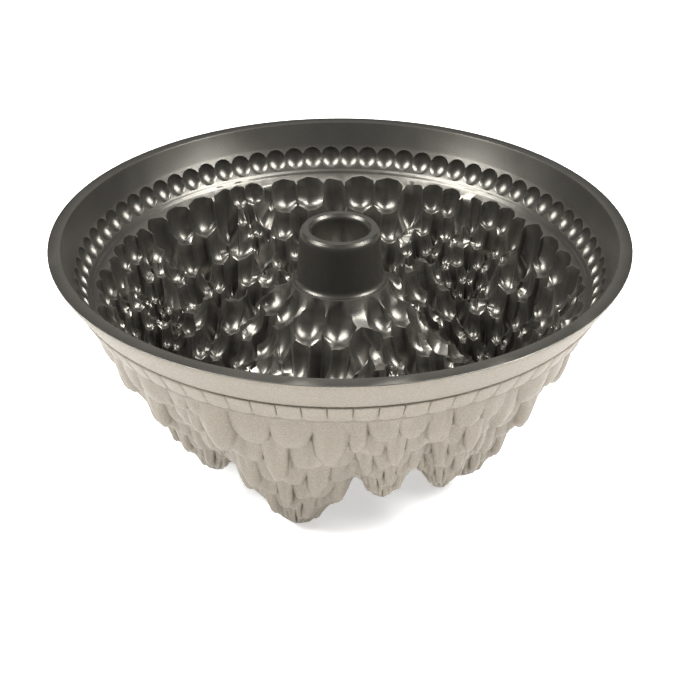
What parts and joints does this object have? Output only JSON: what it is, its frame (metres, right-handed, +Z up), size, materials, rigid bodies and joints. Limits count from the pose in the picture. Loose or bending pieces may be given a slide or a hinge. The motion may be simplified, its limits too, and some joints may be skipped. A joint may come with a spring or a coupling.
{
  "type": "bundt pan",
  "caption": "Round cast ring-cake pan with an open centre tube, a beaded band and a ring of conical fir-tree pits, dark inside and pale outside.",
  "frame": {"origin": "on the floor under the pan's centre, at the tips of the three tallest trees", "axes": "+Z up the centre tube's axis, the rim on top; -Y is the front"},
  "size_m": [0.26, 0.26, 0.11],
  "materials": {
    "pan_casting": "cast aluminium under a champagne coat with a fine pebbled texture",
    "nonstick_lining": "dark grey non-stick coat with a satin gloss"
  },
  "bodies": {
    "root": {"pan_casting": "pan_casting", "nonstick_lining": "nonstick_lining"}
  },
  "joints": []
}
